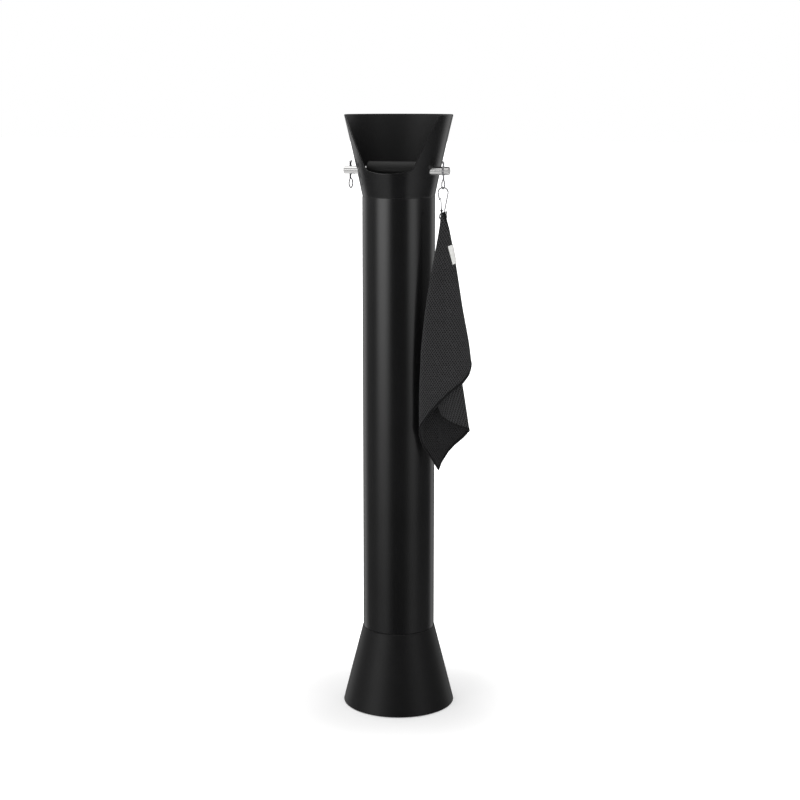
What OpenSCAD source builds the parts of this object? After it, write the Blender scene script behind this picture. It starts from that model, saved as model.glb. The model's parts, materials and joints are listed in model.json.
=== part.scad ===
// Floor-standing coffee knock box: a flared funnel with a padded bar on a tall tube and a weighted base.
// Millimetres. The origin is on the floor at the tube's axis, +Z is up and the scoop faces -Y.

/* [Tube] */
// Outer diameter of the tube
tube_d = 108; // [90:1:140]
// Wall of the tube
tube_wall = 3; // [2:0.5:4]
// Length of the tube between its two seats
tube_len = 655.5; // [400:0.5:900]
// Chamfer round both ends of the tube
tube_chamfer = 0.6; // [0.2:0.1:1]

/* [Base] */
// Diameter of the base at the floor
base_d = 169; // [150:1:210]
// How far the base's shoulder stands proud of the tube
base_proud = 1; // [0.5:0.1:2]
// Height of the tube's seat above the floor
base_h = 120; // [90:1:180]
// Wall of the base shell and of its deck
base_wall = 3; // [2:0.5:4]
// Rounding of the base's shoulder under the tube
shoulder_r = 1.5; // [1:0.1:2]

/* [Funnel] */
// Diameter of the funnel over its lip
funnel_d = 160.6; // [140:0.2:200]
// How far the funnel's seat is set back from the tube's side
funnel_inset = 0.5; // [0:0.1:1.5]
// Height of the funnel above the tube
funnel_h = 119.5; // [100:0.5:160]
// Wall of the funnel
funnel_wall = 3; // [2:0.5:4]
// How far the funnel's side bows inwards at mid height
funnel_bow = 0.5; // [0:0.1:2]

/* [Spigots] */
// Depth that a spigot reaches into the tube
spigot_len = 35; // [20:1:60]
// Wall of a spigot
spigot_wall = 3; // [2.5:0.1:4]
// Gap between a spigot and the tube
spigot_gap = 0.3; // [0.2:0.05:0.6]
// Thickness of the sealing ring's section
seal_d = 1.6; // [1.2:0.1:2]

/* [Scoop] */
// Height of the scoop's lowest point above the tube
scoop_floor_h = 35.3; // [30:0.1:50]
// Radius of the scoop's shallow floor
scoop_floor_r = 130; // [80:1:300]
// Half width of the scoop 48 mm above its floor
scoop_half_w = 54.7; // [40:0.1:60]
// Slope of the scoop's sides from level
scoop_slope = 65; // [55:1:80]
// Radius of the scoop's lower corners
scoop_corner_r = 9; // [4:1:20]
// Radius where the scoop's side runs out into the lip
scoop_crest_r = 8; // [4:1:14]

/* [Knock bar] */
// Diameter of the bar
bar_d = 12; // [10:0.5:16]
// How far each end of the bar stands out beyond the funnel's side
bar_reach = 22.3; // [16:0.1:30]
// Height of the bar's axis above the tube
bar_h = 38.8; // [30:0.1:60]
// Distance of the bar's axis in front of the tube's axis
bar_front = 22; // [0:1:30]
// How far the bar has slid to the right in its holes
bar_shift = 3; // [-3:0.5:3]
// Gap between the bar and its holes in the funnel
bar_hole_gap = 0.5; // [0.3:0.1:1]
// Distance of each cross hole from the bar's end
cross_hole_in = 8.8; // [6:0.1:12]
// Outer diameter of the rubber sleeve
sleeve_d = 26.4; // [20:0.2:34]
// How far the sleeve can slide from the middle before an end meets the funnel's inner wall
sleeve_room = 4.1; // [4:0.1:8]
// Gap between the sleeve and the bar
sleeve_gap = 0.08; // [0.05:0.01:0.1]

/* [Hitch pins] */
// Wire diameter of a hitch pin
clip_wire = 2; // [1.5:0.1:2.5]
// Radius of the loop along its wire's centre
clip_loop_r = 6.5; // [5:0.5:9]
// Distance of the loop's centre below the bar's axis
clip_loop_drop = 19.5; // [17:0.5:24]
// Distance of the loop's centre beside the straight leg
clip_loop_side = 3; // [2:0.5:4]
// Height of the straight leg's tip above the bar's axis
clip_tip_h = 13; // [11:0.5:18]
// Gap round a hitch pin's leg and beside the bar
clip_gap = 0.3; // [0.2:0.05:0.5]

/* [Snap hook] */
// Wire diameter of the snap hook
hook_wire = 2; // [1.5:0.1:2.5]
// Radius of the snap hook's top loop along its wire's centre
hook_top_r = 7.15; // [6:0.05:10]
// Radius of the small ring along its wire's centre
hook_ring_r = 5.1; // [4:0.1:7]
// Distance of the small ring's centre below the top of the hook
hook_ring_drop = 42; // [36:0.5:55]
// Radius of the bend at the neck
hook_neck_r = 6; // [4:0.5:8]
// Half the gap between the wires' centres at the neck
hook_neck_half = 2.1; // [1.8:0.1:3]
// Length of the nose below the top loop
hook_nose_len = 9; // [6:0.5:11]
// Wire diameter of the gate
gate_wire = 1.8; // [1.4:0.1:2]
// Thickness of each hinge eye
eye_thick = 1; // [0.8:0.1:1.2]
// Direction that the snap hook faces, from -Y towards +X
hook_turn = 16; // [0:1:30]

/* [Towel] */
// Thickness of the hanging towel with its folds
towel_thick = 14; // [6:1:20]
// Direction that the towel faces, from -Y towards +X
towel_turn = 22.5; // [10:0.5:30]
// Distance of the towel's back in front of the small ring's wire
towel_gap = 2.6; // [1.5:0.1:6]
// Least gap between the towel's back and the tube
towel_room = 1; // [0.5:0.1:4]
// Cord diameter of the hanging loop
loop_cord = 1.6; // [1:0.1:2]
// Width of the sewn tag
tag_w = 8; // [5:1:14]
// Height of the sewn tag
tag_h = 32; // [20:1:40]
// Thickness of the folded tag
tag_thick = 0.8; // [0.5:0.1:1.5]

/* [Weight and underside] */
// Gap between the cast weight and the screw posts
weight_gap = 3; // [1:0.5:10]
// Height of the cast weight
weight_h = 30; // [15:1:45]
// Thickness of the steel bottom plate
plate_thick = 2.5; // [2:0.5:4]
// Thickness of the rubber foot
foot_thick = 3; // [2:0.5:5]
// How far the rubber foot stands below the shell
foot_drop = 1; // [0.5:0.1:2]
// Gap round the plate, the foot and the fasteners
side_gap = 0.5; // [0.3:0.1:1]
// Diameter of the four plate screws
screw_d = 4; // [3:0.5:5]
// Length of the four plate screws
screw_len = 14; // [10:1:20]
// Distance of each plate screw from the inside of the shell
screw_inset = 14.4; // [12:0.1:18]
// Diameter of the bolt through the weight
bolt_d = 8; // [6:1:10]
// Distance that the bolt's end stays below the weight's top
bolt_short = 6.5; // [1:0.5:10]

/* [Hidden] */
$fn = 96;
eps = 0.01;
far = 400;
fit_gap = 0.05;
wire_sides = 14;
hang_gap = 0.3;

tube_r = tube_d / 2;
bore_r = tube_r - tube_wall;
seat_z = base_h + tube_len;
lip_z = seat_z + funnel_h;

spigot_r = bore_r - spigot_gap;
spigot_bore_r = spigot_r - spigot_wall;
seal_r = seal_d / 2;
seal_ring_r = bore_r - fit_gap - seal_r;
groove_r = seal_ring_r - seal_r - fit_gap;
groove_half = seal_r + 0.2;
spigot_edge = 1;

base_r = base_d / 2;
base_top_r = tube_r + base_proud;
base_taper = (base_r - base_top_r) / (base_h - shoulder_r - foot_drop);
deck_z = base_h - base_wall;

funnel_r = funnel_d / 2;
funnel_seat_r = tube_r - funnel_inset;
funnel_steps = 8;
throat_rise = 4;
lip_r = funnel_wall / 2;
scoop_ref_h = 48;
scoop_over = 0.6;

bar_r = bar_d / 2;
bar_z = seat_z + bar_h;
bar_hole_r = bar_r + bar_hole_gap;
bar_side_r = funnel_out(bar_h / funnel_h);
bar_half = sqrt(pow(bar_side_r, 2) - pow(bar_front, 2)) + bar_reach;
cross_hole_x = bar_half - cross_hole_in;
bar_edge = 0.8;
sleeve_r = sleeve_d / 2;
sleeve_half = sqrt(pow(bar_side_r - funnel_wall, 2) - pow(bar_front + sleeve_r, 2)) - sleeve_room;
sleeve_edge = 2;

clip_r = clip_wire / 2;
clip_bend_r = bar_r + clip_r + clip_gap;
clip_leg_bend_r = 3;
clip_neck_r = 4.2;
clip_pinch_r = 4;
clip_pinch_a = 50;
clip_flare_a = 140;
clip_flare_len = 3;
left_clip_turn = 83;
right_clip_turn = -93;

hook_r = hook_wire / 2;
gate_r = gate_wire / 2;
eye_r = 2;
rivet_r = 0.6;
rivet_head_r = 1.2;
rivet_head_t = 0.4;
eye_gap = 0.1;
eye_reach = 2.6;
gate_overlap = 2;
gate_open_gap = 0.4;

plate_z = foot_thick;
weight_z = plate_z + plate_thick;
post_r = 5;
pilot_extra = 2;
head_ratio = 1.9;
screw_ring_r = base_out(weight_z) - base_wall - screw_inset;
post_top = foot_drop + (base_r - base_wall - screw_ring_r) / base_taper;
weight_r = screw_ring_r - post_r - weight_gap;
bolt_len = plate_thick + weight_h - bolt_short;

loop_bend_r = 4;
tag_lean = 20;
tag_drop = 47;
tag_side = 8.5;

// Points of an arc about a centre, from angle a to angle b
function arc(centre, r, a, b, n) =
    [for (i = [0:n]) let (t = a + (b - a) * i / n) [centre.x + r * cos(t), centre.y + r * sin(t)]];

// Angle of the line from one point to another
function angle_of(from, to) = atan2(to.y - from.y, to.x - from.x);

// Third corner of a triangle on points p and q, with sides a and b, on the right of p to q
function corner(p, q, a, b) =
    let (
        d = norm(q - p),
        along = (a * a - b * b + d * d) / (2 * d),
        side = sqrt(a * a - along * along),
        u = (q - p) / d
    )
    p + along * u + side * [-u.y, u.x];

// Points of a bend in a wire after its first one, about one for every ten degrees
function bend(centre, r, a, b) =
    let (n = ceil(abs(b - a) / 10))
    [for (i = [1:n]) let (t = a + (b - a) * i / n) [centre.x + r * cos(t), centre.y + r * sin(t)]];

// Unit direction of a path at its point i
function way_at(path, i) =
    let (d = path[min(i + 1, len(path) - 1)] - path[max(i - 1, 0)])
    d / norm(d);

// Wire swept along a path in the XY plane, with both ends rounded
module wire(path, r) {
    last = len(path) - 1;
    start = way_at(path, 0);
    end = way_at(path, last);
    tips = [75, 45, 15];
    stations = concat(
        [for (a = tips) [path[0] - r * sin(a) * start, start, r * cos(a)]],
        [for (i = [0:last]) [path[i], way_at(path, i), r]],
        [for (k = [2:-1:0]) [path[last] + r * sin(tips[k]) * end, end, r * cos(tips[k])]]
    );
    points = [
        for (s = stations)
            for (j = [0:wire_sides - 1])
                let (a = 360 * j / wire_sides)
                [s[0].x - s[2] * cos(a) * s[1].y, s[0].y + s[2] * cos(a) * s[1].x, s[2] * sin(a)]
    ];
    sides = [
        for (i = [0:len(stations) - 2])
            for (j = [0:wire_sides - 1])
                let (k = (j + 1) % wire_sides, low = i * wire_sides, high = low + wire_sides)
                [high + j, high + k, low + k, low + j]
    ];
    top = (len(stations) - 1) * wire_sides;
    polyhedron(
        points,
        concat(
            sides,
            [[for (j = [0:wire_sides - 1]) j]],
            [[for (j = [wire_sides - 1:-1:0]) top + j]]
        )
    );
}

// ---- Base ----

// Outer radius of the base shell at a height
function base_out(z) = base_r - base_taper * (z - foot_drop);

// Half section of a spigot with its seal groove, going up when way is 1 and down when it is -1
function spigot_outline(z, way) = [
    [spigot_r, z],
    [spigot_r, z + way * (spigot_len / 2 - groove_half)],
    [groove_r, z + way * (spigot_len / 2 - groove_half)],
    [groove_r, z + way * (spigot_len / 2 + groove_half)],
    [spigot_r, z + way * (spigot_len / 2 + groove_half)],
    [spigot_r, z + way * (spigot_len - spigot_edge)],
    [spigot_r - spigot_edge, z + way * spigot_len],
    [spigot_bore_r, z + way * spigot_len]
];

module base_shell() {
    shoulder = [base_top_r - shoulder_r, base_h - shoulder_r];
    outline = concat(
        [[base_out(foot_drop), foot_drop]],
        arc(shoulder, shoulder_r, 0, 90, 6),
        spigot_outline(base_h, 1),
        [
            [spigot_bore_r, base_h],
            [0, base_h],
            [0, deck_z],
            [base_out(deck_z) - base_wall, deck_z],
            [base_out(foot_drop) - base_wall, foot_drop]
        ]
    );
    color("#1c1c1e") {
        rotate_extrude()
            polygon(outline);
        screw_posts();
    }
}

// Four posts down the inside of the base shell, each drilled for a plate screw
module screw_posts() {
    pilot_r = screw_d / 2 + fit_gap;
    pilot_len = screw_len + pilot_extra - plate_thick;
    difference() {
        intersection() {
            union()
                for (i = [0:3])
                    rotate(45 + 90 * i)
                        translate([screw_ring_r, 0, weight_z])
                            cylinder(r = post_r, h = post_top - weight_z);
            rotate_extrude()
                polygon([
                    [0, foot_drop],
                    [base_out(foot_drop) - base_wall / 2, foot_drop],
                    [base_out(deck_z) - base_wall / 2, deck_z],
                    [0, deck_z]
                ]);
        }
        for (i = [0:3])
            rotate(45 + 90 * i)
                translate([screw_ring_r, 0, weight_z - eps])
                    cylinder(r = pilot_r, h = pilot_len, $fn = 32);
    }
}

// Ring of round section that seals a spigot in the tube
module seal_ring(z) {
    color("#0c0c0c")
        translate([0, 0, z])
            rotate_extrude()
                translate([seal_ring_r, 0])
                    circle(r = seal_r, $fn = 24);
}

module base_seal() {
    seal_ring(base_h + spigot_len / 2);
}

module cast_weight() {
    color("#4b4d50")
        difference() {
            translate([0, 0, weight_z])
                cylinder(r = weight_r, h = weight_h);
            translate([0, 0, plate_z])
                flat_screw_seat(bolt_d, plate_thick + weight_h);
        }
}

// Flat-headed fastener with its head's face at z = 0 and its shank going up
module flat_screw(d, len) {
    head_r = d / 2 * head_ratio;
    union() {
        cylinder(r1 = head_r, r2 = d / 2, h = head_r - d / 2, $fn = 48);
        cylinder(d = d, h = len, $fn = 48);
    }
}

// The hole that a flat-headed fastener sits in
module flat_screw_seat(d, depth) {
    head_r = d / 2 * head_ratio + fit_gap;
    translate([0, 0, -eps]) {
        cylinder(r1 = head_r + eps, r2 = d / 2 + fit_gap, h = head_r - d / 2 - fit_gap + eps, $fn = 48);
        cylinder(r = d / 2 + fit_gap, h = depth + 2 * eps, $fn = 48);
    }
}

module weight_bolt() {
    color("#8d9094")
        translate([0, 0, plate_z])
            flat_screw(bolt_d, bolt_len);
}

module bottom_plate() {
    plate_r = base_out(weight_z) - base_wall - side_gap;
    color("#2a2b2d")
        difference() {
            translate([0, 0, plate_z])
                cylinder(r = plate_r, h = plate_thick);
            translate([0, 0, plate_z])
                flat_screw_seat(bolt_d, plate_thick);
            for (i = [0:3])
                rotate(45 + 90 * i)
                    translate([screw_ring_r, 0, plate_z])
                        flat_screw_seat(screw_d, plate_thick);
        }
}

module plate_screws() {
    color("#8d9094")
        for (i = [0:3])
            rotate(45 + 90 * i)
                translate([screw_ring_r, 0, plate_z])
                    flat_screw(screw_d, screw_len);
}

module rubber_foot() {
    foot_r = base_out(foot_thick) - base_wall - side_gap;
    color("#0c0c0c")
        cylinder(r = foot_r, h = foot_thick);
}

// ---- Tube ----

module tube() {
    color("#18181a")
        rotate_extrude()
            polygon([
                [bore_r, base_h],
                [tube_r - tube_chamfer, base_h],
                [tube_r, base_h + tube_chamfer],
                [tube_r, seat_z - tube_chamfer],
                [tube_r - tube_chamfer, seat_z],
                [bore_r, seat_z]
            ]);
}

// ---- Funnel ----

// Outer radius of the funnel at a share t of its height
function funnel_out(t) = funnel_seat_r + (funnel_r - funnel_seat_r) * t - funnel_bow * 4 * t * (1 - t);

module funnel() {
    side_top = 1 - lip_r / funnel_h;
    throat_t = throat_rise / funnel_h;
    outline = concat(
        [for (i = [0:funnel_steps]) let (t = side_top * i / funnel_steps) [funnel_out(t), seat_z + funnel_h * t]],
        arc([funnel_out(side_top) - lip_r, lip_z - lip_r], lip_r, 20, 180, 8),
        [
            for (i = [funnel_steps:-1:0])
                let (t = throat_t + (side_top - throat_t) * i / funnel_steps)
                [funnel_out(t) - funnel_wall, seat_z + funnel_h * t]
        ],
        [[spigot_bore_r, seat_z - throat_rise]],
        [for (i = [7:-1:0]) spigot_outline(seat_z, -1)[i]]
    );
    color("#1c1c1e")
        difference() {
            rotate_extrude()
                polygon(outline);
            scoop_cut();
            translate([-far / 2, -bar_front, bar_z])
                rotate([0, 90, 0])
                    cylinder(r = bar_hole_r, h = far);
        }
}

// Front opening of the funnel: a shallow floor, round corners and sides that run out into the lip
module scoop_cut() {
    floor_z = seat_z + scoop_floor_h;
    floor_c = [0, floor_z + scoop_floor_r];
    side = [cos(scoop_slope), sin(scoop_slope)];
    inward = [-side.y, side.x];
    side_p = [scoop_half_w, floor_z + scoop_ref_h];
    q = side_p + scoop_corner_r * inward - floor_c;
    b = q * side;
    c = q * q - pow(scoop_floor_r - scoop_corner_r, 2);
    corner_c = floor_c + q - (b + sqrt(b * b - c)) * side;
    corner_a = angle_of(floor_c, corner_c);
    crest_z = lip_z + scoop_over;
    crest_p = side_p - scoop_crest_r * inward;
    crest_c = crest_p + side * (crest_z - scoop_crest_r - crest_p.y) / side.y;
    right = concat(
        arc(floor_c, scoop_floor_r, -90, corner_a, 6),
        arc(corner_c, scoop_corner_r, corner_a, scoop_slope - 90, 6),
        arc(crest_c, scoop_crest_r, scoop_slope + 90, 90, 6),
        [[funnel_r + scoop_crest_r, crest_z], [funnel_r + scoop_crest_r, crest_z + scoop_crest_r]]
    );
    left = [for (i = [len(right) - 1:-1:1]) [-right[i].x, right[i].y]];
    rotate([90, 0, 0])
        linear_extrude(far)
            polygon(concat(right, left));
}

module funnel_seal() {
    seal_ring(seat_z - spigot_len / 2);
}

// ---- Knock bar ----

// Places the bar's own frame, with its length along Z, in the funnel
module at_bar() {
    translate([bar_shift, -bar_front, bar_z])
        rotate([0, 90, 0])
            children();
}

module knock_bar() {
    color("#c9ccd0")
        difference() {
            at_bar()
                rotate_extrude()
                    polygon([
                        [0, -bar_half],
                        [bar_r - bar_edge, -bar_half],
                        [bar_r, bar_edge - bar_half],
                        [bar_r, bar_half - bar_edge],
                        [bar_r - bar_edge, bar_half],
                        [0, bar_half]
                    ]);
            for (side = [-1, 1])
                translate([bar_shift + side * cross_hole_x, -bar_front, bar_z - bar_d])
                    cylinder(r = clip_r + clip_gap, h = 2 * bar_d, $fn = 48);
        }
}

module bar_sleeve() {
    inner = bar_r + sleeve_gap;
    color("#101011")
        at_bar()
            rotate_extrude()
                polygon(concat(
                    [[inner, -sleeve_half]],
                    arc([sleeve_r - sleeve_edge, sleeve_edge - sleeve_half], sleeve_edge, -90, 0, 6),
                    arc([sleeve_r - sleeve_edge, sleeve_half - sleeve_edge], sleeve_edge, 0, 90, 6),
                    [[inner, sleeve_half]]
                ));
}

// ---- Hitch pins ----

// Hairpin wire clip. Its straight leg stands in a cross hole and its bent leg goes round the bar.
module hitch_pin(side, turn) {
    loop_c = [clip_loop_side, -clip_loop_drop];
    leg_c_x = -clip_leg_bend_r;
    leg_c = [leg_c_x, loop_c.y + sqrt(pow(clip_leg_bend_r + clip_loop_r, 2) - pow(loop_c.x - leg_c_x, 2))];
    neck_c = corner([0, 0], loop_c, clip_bend_r + clip_neck_r, clip_loop_r + clip_neck_r);
    pinch_c = (clip_bend_r + clip_pinch_r) * [cos(clip_pinch_a), sin(clip_pinch_a)];
    flare_from = pinch_c + clip_pinch_r * [cos(clip_flare_a), sin(clip_flare_a)];
    flare_to = flare_from + clip_flare_len * [sin(clip_flare_a), -cos(clip_flare_a)];
    neck_a = angle_of([0, 0], neck_c);
    path = concat(
        [[0, clip_tip_h], [0, leg_c.y]],
        bend(leg_c, clip_leg_bend_r, 0, angle_of(leg_c, loop_c)),
        bend(loop_c, clip_loop_r, angle_of(loop_c, leg_c), 360 + angle_of(loop_c, neck_c)),
        bend(neck_c, clip_neck_r, 360 + angle_of(neck_c, loop_c), 180 + neck_a),
        bend([0, 0], clip_bend_r, neck_a, clip_pinch_a),
        bend(pinch_c, clip_pinch_r, 180 + clip_pinch_a, clip_flare_a),
        [flare_to]
    );
    color("#c4c7ca")
        translate([bar_shift + side * cross_hole_x, -bar_front, bar_z])
            rotate(turn)
                rotate([90, 0, 0])
                    wire(path, clip_r);
}

module left_hitch_pin() {
    hitch_pin(-1, left_clip_turn);
}

module right_hitch_pin() {
    hitch_pin(1, right_clip_turn);
}

// ---- Snap hook ----

hook_x = bar_shift + cross_hole_x + clip_loop_side * cos(right_clip_turn);
hook_y = -bar_front + clip_loop_side * sin(right_clip_turn);
hook_z = bar_z - clip_loop_drop - clip_loop_r + clip_r + hook_r + hang_gap;
hook_top_c = [0, -hook_top_r];
hook_ring_c = [0, -hook_ring_drop];
hook_neck_x = hook_neck_half + hook_neck_r;
hook_neck_y = -hook_ring_drop + sqrt(pow(hook_neck_r + hook_ring_r, 2) - pow(hook_neck_x, 2));
hook_neck_c = [hook_neck_x, hook_neck_y];
hook_far_neck_c = [-hook_neck_x, hook_neck_y];
hook_lean = acos((hook_top_r + hook_neck_r) / norm(hook_neck_c - hook_top_c));
hook_side_a = angle_of(hook_top_c, hook_neck_c) + hook_lean;
hook_side = [cos(hook_side_a), sin(hook_side_a)];
far_side = [-hook_side.x, hook_side.y];
strand = [hook_side.y, hook_side.x];
rivet_at = hook_far_neck_c - hook_neck_r * far_side;
nose_top = hook_top_c + hook_top_r * far_side;
nose_end = nose_top - hook_nose_len * strand;
gate_tip = nose_end + gate_overlap * strand - (hook_r + gate_r + gate_open_gap) * far_side;

// Places the snap hook's own frame, with its top at the origin and its front along Z
module at_hook() {
    translate([hook_x, hook_y, hook_z])
        rotate(hook_turn)
            rotate([90, 0, 0])
                children();
}

// Eye of the gate's hinge with a tongue that reaches back to its wire
module hinge_eye(at, towards, low, tongue_w) {
    difference() {
        translate([at.x, at.y, low])
            union() {
                cylinder(r = eye_r, h = eye_thick, $fn = 48);
                rotate(angle_of(at, towards))
                    translate([0, -tongue_w / 2, 0])
                        cube([eye_reach + tongue_w / 2, tongue_w, eye_thick - 2 * eye_gap]);
            }
        translate([at.x, at.y, low - 1])
            cylinder(r = rivet_r + fit_gap, h = eye_thick + 2, $fn = 32);
    }
}

module snap_hook() {
    ring_a = angle_of(hook_ring_c, hook_neck_c);
    neck_a = 360 + angle_of(hook_neck_c, hook_ring_c);
    far_a = angle_of(hook_far_neck_c, hook_ring_c);
    eye_a = -hook_side_a - 2 * asin((eye_reach + hook_r) / 2 / hook_neck_r);
    eye_end = hook_far_neck_c + hook_neck_r * [cos(eye_a), sin(eye_a)];
    path = concat(
        [nose_end, nose_top],
        bend(hook_top_c, hook_top_r, 180 - hook_side_a, hook_side_a),
        [hook_neck_c - hook_neck_r * hook_side],
        bend(hook_neck_c, hook_neck_r, 180 + hook_side_a, neck_a),
        bend(hook_ring_c, hook_ring_r, ring_a, -180 - ring_a),
        bend(hook_far_neck_c, hook_neck_r, far_a, eye_a)
    );
    color("#c4c7ca")
        at_hook() {
            wire(path, hook_r);
            hinge_eye(rivet_at, eye_end, -eye_gap - eye_thick, hook_wire * 0.8);
        }
}

module hook_gate() {
    way = (gate_tip - rivet_at) / norm(gate_tip - rivet_at);
    color("#c4c7ca")
        at_hook() {
            wire([rivet_at + (eye_reach + gate_r) * way, gate_tip], gate_r);
            translate([0, 0, 2 * eye_gap])
                hinge_eye(rivet_at, gate_tip, -eye_gap, gate_wire * 0.8);
        }
}

module gate_rivet() {
    head_z = eye_thick + 2 * eye_gap;
    color("#9a9da1")
        at_hook()
            translate([rivet_at.x, rivet_at.y, 0]) {
                translate([0, 0, -head_z - rivet_head_t])
                    cylinder(r = rivet_head_r, h = rivet_head_t, $fn = 48);
                translate([0, 0, -head_z])
                    cylinder(r = rivet_r, h = 2 * head_z, $fn = 48);
                translate([0, 0, head_z])
                    cylinder(r = rivet_head_r, h = rivet_head_t, $fn = 48);
            }
}

// ---- Towel ----

// Distance of the towel's back in front of the small ring's centre, clear of the ring and of the tube
towel_back = max(
    towel_gap + hook_r,
    tube_r + towel_room - hook_x * sin(towel_turn) + hook_y * cos(towel_turn)
);

// Places the towel's own frame: its origin is at the middle of its back, level with the small ring's wire
module at_towel() {
    translate([hook_x, hook_y, hook_z - hook_ring_drop - hook_ring_r])
        rotate(towel_turn)
            rotate([90, 0, 0])
                translate([0, 0, towel_back])
                    children();
}

// Outline of the towel hung by one corner: width to the right, height upwards
towel_outline = [
    [0, 12], [-3, 10], [-10, -20], [-20, -85], [-31, -160], [-35, -210], [-35, -290],
    [-33, -322], [-6, -366], [8, -343], [25, -326], [42, -313], [43, -185], [33, -130], [4, 8]
];

module towel() {
    color("#1a1a1c")
        at_towel()
            linear_extrude(towel_thick)
                polygon(towel_outline);
}

// Cord loop from the towel's back round the small ring's lowest stretch
module towel_loop() {
    cord_r = loop_cord / 2;
    top = hook_r + cord_r + hang_gap;
    path = concat(
        [[-cord_r, top], [-towel_back, top]],
        bend([-towel_back, top - loop_bend_r], loop_bend_r, 90, 270),
        [[-cord_r, top - 2 * loop_bend_r]]
    );
    color("#101011")
        at_towel()
            rotate([0, -90, 0])
                wire(path, cord_r);
}

// Folded label sewn to the towel's right edge
module towel_tag() {
    color("#e8e8e6")
        at_towel()
            translate([tag_side, -tag_drop, towel_thick + fit_gap])
                rotate(tag_lean)
                    translate([-tag_w / 2, -tag_h / 2, 0])
                        cube([tag_w, tag_h, tag_thick]);
}

base_shell();
base_seal();
cast_weight();
weight_bolt();
bottom_plate();
plate_screws();
rubber_foot();
tube();
funnel();
funnel_seal();
knock_bar();
bar_sleeve();
left_hitch_pin();
right_hitch_pin();
snap_hook();
hook_gate();
gate_rivet();
towel();
towel_loop();
towel_tag();
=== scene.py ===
# %% [markdown]
# # A floor-standing coffee knock box
# The model is a tall satin black tube on a weighted base, with a funnel on top. A barista
# knocks a portafilter on the padded bar in the funnel. A waffle towel hangs from a snap hook.
# The hard parts come finished from CAD as a frame that is never moved. This lesson gives
# them their finishes, and makes the soft things: the towel, its hanging cord and its tag.

import json
import math

import bpy
import numpy as np
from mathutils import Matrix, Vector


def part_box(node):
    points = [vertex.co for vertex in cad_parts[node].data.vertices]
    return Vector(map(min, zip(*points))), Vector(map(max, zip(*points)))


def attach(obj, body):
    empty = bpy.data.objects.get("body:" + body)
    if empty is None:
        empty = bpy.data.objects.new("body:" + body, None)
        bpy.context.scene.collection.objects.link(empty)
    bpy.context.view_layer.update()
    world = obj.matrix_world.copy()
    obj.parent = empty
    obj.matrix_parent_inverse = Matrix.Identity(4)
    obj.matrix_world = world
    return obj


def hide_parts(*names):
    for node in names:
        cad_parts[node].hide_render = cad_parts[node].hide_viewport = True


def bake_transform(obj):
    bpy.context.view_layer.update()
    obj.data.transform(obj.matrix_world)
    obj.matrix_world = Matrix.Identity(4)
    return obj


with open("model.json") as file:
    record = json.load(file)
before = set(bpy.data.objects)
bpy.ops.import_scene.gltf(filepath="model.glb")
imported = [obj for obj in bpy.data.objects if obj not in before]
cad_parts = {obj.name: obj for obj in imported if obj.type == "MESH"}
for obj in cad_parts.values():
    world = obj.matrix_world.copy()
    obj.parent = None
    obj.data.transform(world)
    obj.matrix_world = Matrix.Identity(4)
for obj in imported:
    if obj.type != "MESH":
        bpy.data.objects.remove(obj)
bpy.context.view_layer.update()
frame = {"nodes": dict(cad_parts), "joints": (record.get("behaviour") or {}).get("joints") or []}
nodes = frame["nodes"]
joints = {joint["name"]: joint for joint in frame["joints"]}

# %% [markdown]
# ## Writing shader maths as Python
# A material's pattern is arithmetic on coordinates, and in Blender every sum is a node. Wiring
# them by hand is slow to read, so a small class wraps a socket: an operator on it adds the Math
# node. Any other node comes from one method, which sets the node up before it feeds its sockets.

# %% A socket that does arithmetic
class Flow:
    """A number or vector on its way through a node tree. Operators add Math nodes to the tree."""

    def __init__(self, finish, socket):
        self.finish = finish
        self.socket = socket

    def maths(self, operation, *others):
        """One Math node, whose first input is this number."""
        inputs = dict(enumerate((self, *others)))
        return self.finish.node("ShaderNodeMath", {"operation": operation}, inputs)

    def __add__(self, other):
        return self.maths("ADD", other)

    def __sub__(self, other):
        return self.maths("SUBTRACT", other)

    def __rsub__(self, other):
        """other - self is self times -1, plus other."""
        return self.maths("MULTIPLY_ADD", -1.0, other)

    def __mul__(self, other):
        return self.maths("MULTIPLY", other)

    def __pow__(self, other):
        return self.maths("POWER", other)

    __radd__ = __add__
    __rmul__ = __mul__

    def most(self, other):
        """The larger of the two."""
        return self.maths("MAXIMUM", other)

    def wave(self, length):
        """A cosine of that wavelength, from 0 at the middle of a cell to 1 at its edge."""
        return (self * (2 * math.pi / length)).maths("COSINE") * 0.5 + 0.5

    def rise(self, low, high):
        """0 below low, 1 above high and a smooth step between them."""
        return self.finish.node(
            "ShaderNodeMapRange",
            {"interpolation_type": "SMOOTHSTEP"},
            {"Value": self, "From Min": low, "From Max": high},
        )


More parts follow.
